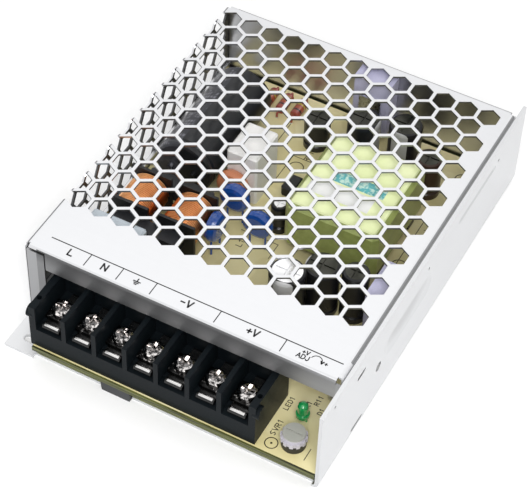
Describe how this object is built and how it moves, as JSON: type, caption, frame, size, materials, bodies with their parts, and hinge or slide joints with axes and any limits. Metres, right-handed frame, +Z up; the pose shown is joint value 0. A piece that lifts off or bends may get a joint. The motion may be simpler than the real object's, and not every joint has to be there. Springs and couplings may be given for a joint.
{
  "type": "mesh case switching power supply",
  "caption": "Enclosed switching power supply: folded sheet case with a hexagon mesh cover, circuit board, screw terminals, light and trimmer.",
  "frame": {"origin": "on the ground plane, under the middle of the case", "axes": "+Z up out of the mesh, +X to the right along the terminals, -Y towards the terminals"},
  "size_m": [0.097, 0.129, 0.03],
  "materials": {
    "block_black": "black moulding, soft gloss",
    "board": "cream laminate",
    "bobbin_black": "phenolic moulding",
    "box_grey": "light grey case",
    "cap_lavender": "silicone cap",
    "case_metal": "satin, bare sheet",
    "copper": "enamelled copper wire",
    "disc_blue": "epoxy dipped",
    "disc_brown": "epoxy dipped",
    "disc_dark": "epoxy dipped",
    "drum_black": "black moulding",
    "epoxy_black": "moulded epoxy",
    "ferrite": "dark ferrite",
    "film": "thin clear-grey film",
    "grey_moulding": "dark slate moulding",
    "knob_grey": "light grey moulding",
    "led_green": "tinted epoxy lens",
    "plate_metal": "tin plated",
    "resistor_body": "coated body",
    "screw_metal": "nickel plated",
    "sleeve_black": "shrink sleeve",
    "steel": "zinc plated",
    "tape_yellow": "polyester tape"
  },
  "bodies": {
    "root": {"blue_disc_1": "disc_blue", "blue_disc_2": "disc_blue", "blue_disc_3": "disc_blue", "board_screws": "steel", "bridge_rectifier": "epoxy_black", "bulk_capacitor": "sleeve_black", "chassis": "case_metal", "choke_bobbin": "bobbin_black", "choke_core": "ferrite", "choke_winding_1": "copper", "choke_winding_2": "copper", "circuit_board": "board", "cover": "case_metal", "cover_screws": "steel", "film_capacitor": "box_grey", "front_board_pad": "grey_moulding", "fuse": "epoxy_black", "inrush_disc": "disc_dark", "insulation_sheet": "film", "line_capacitor": "box_grey", "optocoupler": "epoxy_black", "output_capacitor_1": "sleeve_black", "output_capacitor_2": "sleeve_black", "output_capacitor_3": "sleeve_black", "output_rectifier": "epoxy_black", "output_rectifier_cap": "cap_lavender", "output_rectifier_clip": "steel", "rear_capacitor_1": "sleeve_black", "rear_capacitor_2": "sleeve_black", "rear_capacitor_3": "sleeve_black", "resistors": "resistor_body", "small_capacitor_1": "sleeve_black", "small_capacitor_2": "sleeve_black", "status_led": "led_green", "surge_disc": "disc_brown", "switch_transistor": "epoxy_black", "switch_transistor_cap": "cap_lavender", "switch_transistor_clip": "steel", "terminal_block": "block_black", "terminal_plates": "plate_metal", "transformer_bobbin": "bobbin_black", "transformer_core": "ferrite", "transformer_tape": "tape_yellow", "transformer_winding": "copper", "trimmer_base": "drum_black"},
    "clamp_1": {"clamp_washer_1": "screw_metal"},
    "screw_1": {"terminal_screw_1": "screw_metal"},
    "clamp_2": {"clamp_washer_2": "screw_metal"},
    "screw_2": {"terminal_screw_2": "screw_metal"},
    "clamp_3": {"clamp_washer_3": "screw_metal"},
    "screw_3": {"terminal_screw_3": "screw_metal"},
    "clamp_4": {"clamp_washer_4": "screw_metal"},
    "screw_4": {"terminal_screw_4": "screw_metal"},
    "clamp_5": {"clamp_washer_5": "screw_metal"},
    "screw_5": {"terminal_screw_5": "screw_metal"},
    "clamp_6": {"clamp_washer_6": "screw_metal"},
    "screw_6": {"terminal_screw_6": "screw_metal"},
    "clamp_7": {"clamp_washer_7": "screw_metal"},
    "screw_7": {"terminal_screw_7": "screw_metal"},
    "knob": {"trimmer_knob": "knob_grey"}
  },
  "joints": [
    {"name": "clamp_1_lift", "type": "slide", "parent": "root", "child": "clamp_1", "axis": [0, 0, 1], "range_m": [0, 0.0024]},
    {"name": "screw_1_turn", "type": "hinge", "parent": "clamp_1", "child": "screw_1", "pos_m": [-0.03395, -0.0562, 0.0126], "axis": [0, 0, 1], "range_deg": [0, 1440]},
    {"name": "clamp_2_lift", "type": "slide", "parent": "root", "child": "clamp_2", "axis": [0, 0, 1], "range_m": [0, 0.0024]},
    {"name": "screw_2_turn", "type": "hinge", "parent": "clamp_2", "child": "screw_2", "pos_m": [-0.02445, -0.0562, 0.0126], "axis": [0, 0, 1], "range_deg": [0, 1440]},
    {"name": "clamp_3_lift", "type": "slide", "parent": "root", "child": "clamp_3", "axis": [0, 0, 1], "range_m": [0, 0.0024]},
    {"name": "screw_3_turn", "type": "hinge", "parent": "clamp_3", "child": "screw_3", "pos_m": [-0.01495, -0.0562, 0.0126], "axis": [0, 0, 1], "range_deg": [0, 1440]},
    {"name": "clamp_4_lift", "type": "slide", "parent": "root", "child": "clamp_4", "axis": [0, 0, 1], "range_m": [0, 0.0024]},
    {"name": "screw_4_turn", "type": "hinge", "parent": "clamp_4", "child": "screw_4", "pos_m": [-0.00545, -0.0562, 0.0126], "axis": [0, 0, 1], "range_deg": [0, 1440]},
    {"name": "clamp_5_lift", "type": "slide", "parent": "root", "child": "clamp_5", "axis": [0, 0, 1], "range_m": [0, 0.0024]},
    {"name": "screw_5_turn", "type": "hinge", "parent": "clamp_5", "child": "screw_5", "pos_m": [0.00405, -0.0562, 0.0126], "axis": [0, 0, 1], "range_deg": [0, 1440]},
    {"name": "clamp_6_lift", "type": "slide", "parent": "root", "child": "clamp_6", "axis": [0, 0, 1], "range_m": [0, 0.0024]},
    {"name": "screw_6_turn", "type": "hinge", "parent": "clamp_6", "child": "screw_6", "pos_m": [0.01355, -0.0562, 0.0126], "axis": [0, 0, 1], "range_deg": [0, 1440]},
    {"name": "clamp_7_lift", "type": "slide", "parent": "root", "child": "clamp_7", "axis": [0, 0, 1], "range_m": [0, 0.0024]},
    {"name": "screw_7_turn", "type": "hinge", "parent": "clamp_7", "child": "screw_7", "pos_m": [0.02305, -0.0562, 0.0126], "axis": [0, 0, 1], "range_deg": [0, 1440]},
    {"name": "knob_turn", "type": "hinge", "parent": "root", "child": "knob", "pos_m": [0.0379, -0.0581, 0.0076], "axis": [0, 0, 1], "range_deg": [-105, 105]}
  ],
  "couplings": [
    {"joint": "screw_1_turn", "follows": "clamp_1_lift", "rad_per_m": 10472},
    {"joint": "screw_2_turn", "follows": "clamp_2_lift", "rad_per_m": 10472},
    {"joint": "screw_3_turn", "follows": "clamp_3_lift", "rad_per_m": 10472},
    {"joint": "screw_4_turn", "follows": "clamp_4_lift", "rad_per_m": 10472},
    {"joint": "screw_5_turn", "follows": "clamp_5_lift", "rad_per_m": 10472},
    {"joint": "screw_6_turn", "follows": "clamp_6_lift", "rad_per_m": 10472},
    {"joint": "screw_7_turn", "follows": "clamp_7_lift", "rad_per_m": 10472}
  ]
}
